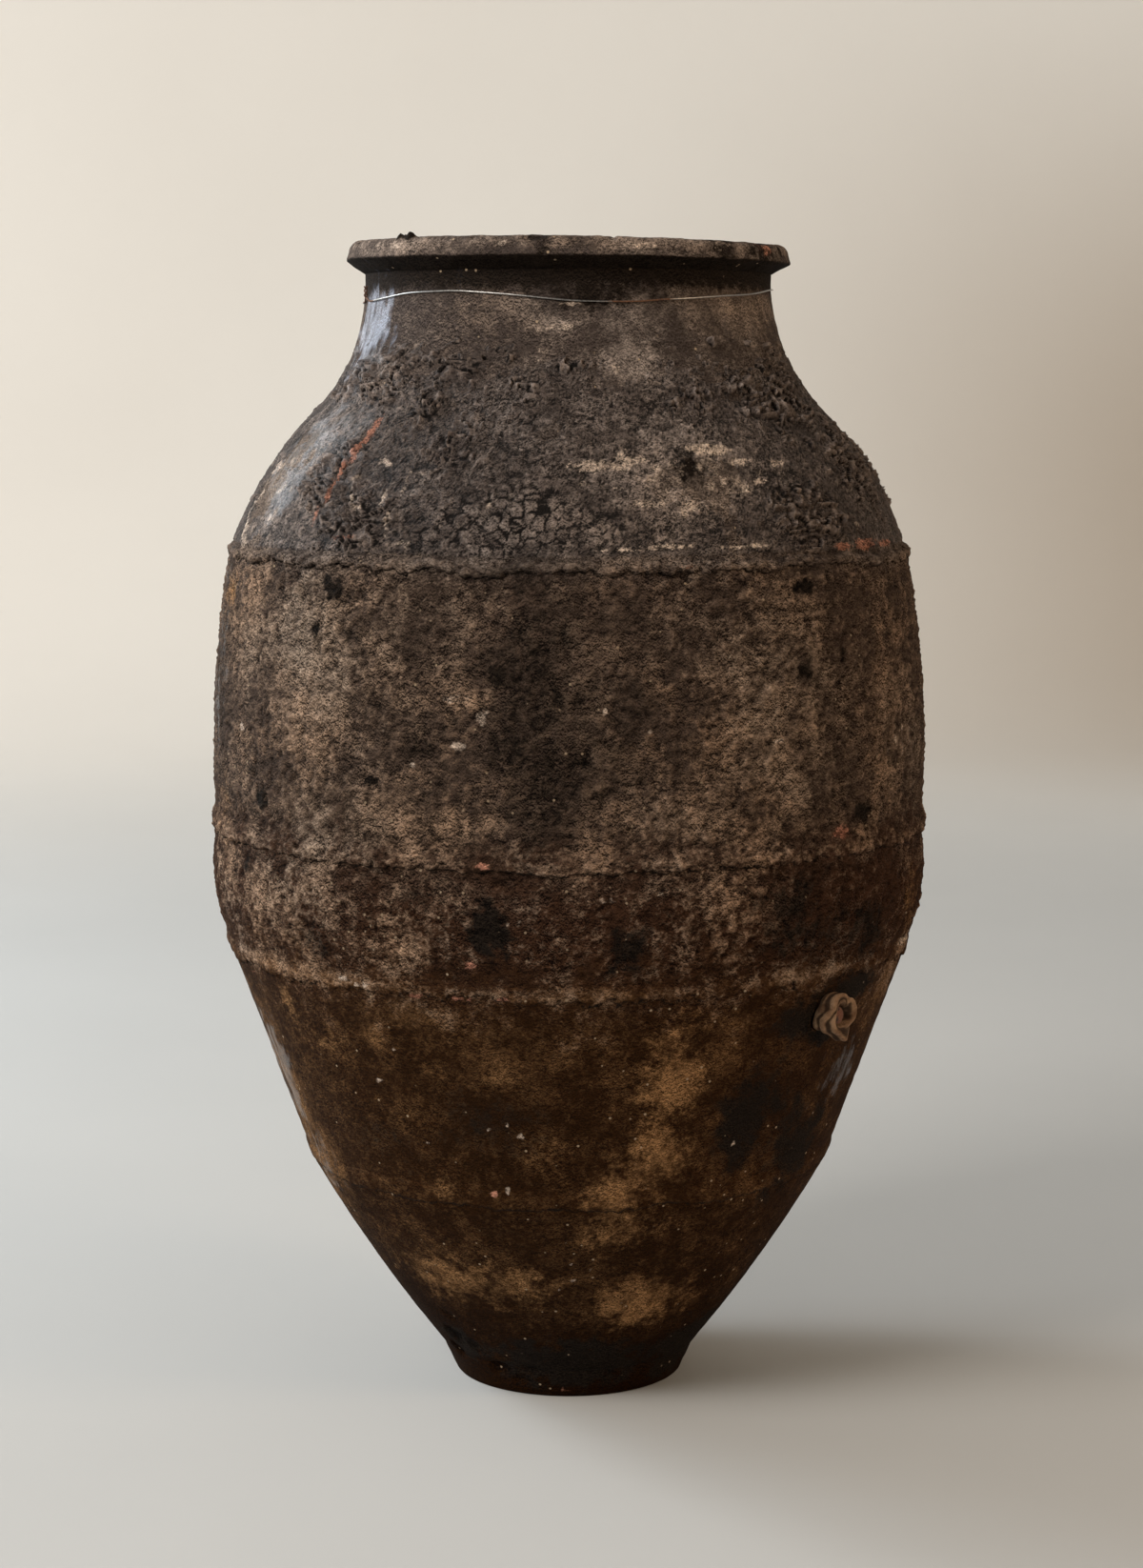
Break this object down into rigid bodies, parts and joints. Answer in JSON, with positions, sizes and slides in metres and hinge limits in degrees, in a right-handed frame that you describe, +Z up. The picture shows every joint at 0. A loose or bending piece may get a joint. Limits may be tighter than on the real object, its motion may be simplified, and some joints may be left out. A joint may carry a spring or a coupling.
{
  "type": "olive jar",
  "caption": "Tall unglazed clay storage jar: narrow foot, banded egg-shaped body, pitch-crusted shoulder, flat overhanging rim, wire round the neck and a rag-wrapped tap bung that pulls out.",
  "frame": {"origin": "centre of the foot's underside", "axes": "+Z up along the jar's axis, +X out through the tap hole"},
  "size_m": [0.5056, 0.5056, 0.8],
  "materials": {
    "fired_clay": "matte",
    "pitch": "matte",
    "wire": "satin",
    "peg_wood": "matte",
    "sackcloth": "matte"
  },
  "bodies": {
    "jar": {"base_disc": "fired_clay", "lower_section": "fired_clay", "lower_belly_section": "fired_clay", "belly_section": "fired_clay", "upper_belly_section": "fired_clay", "shoulder_section": "fired_clay", "neck_section": "fired_clay", "rim_ring": "fired_clay", "lower_band": "fired_clay", "waist_band": "fired_clay", "belly_band": "fired_clay", "shoulder_band": "fired_clay", "pitch_lining": "pitch", "shoulder_pitch_coat": "pitch", "neck_wire": "wire"},
    "bung": {"tap_peg": "peg_wood", "tap_rag": "sackcloth"}
  },
  "joints": [
    {"name": "bung_pull", "type": "slide", "parent": "jar", "child": "bung", "axis": [1, 0, 0], "range_m": [0, 0.07]}
  ]
}
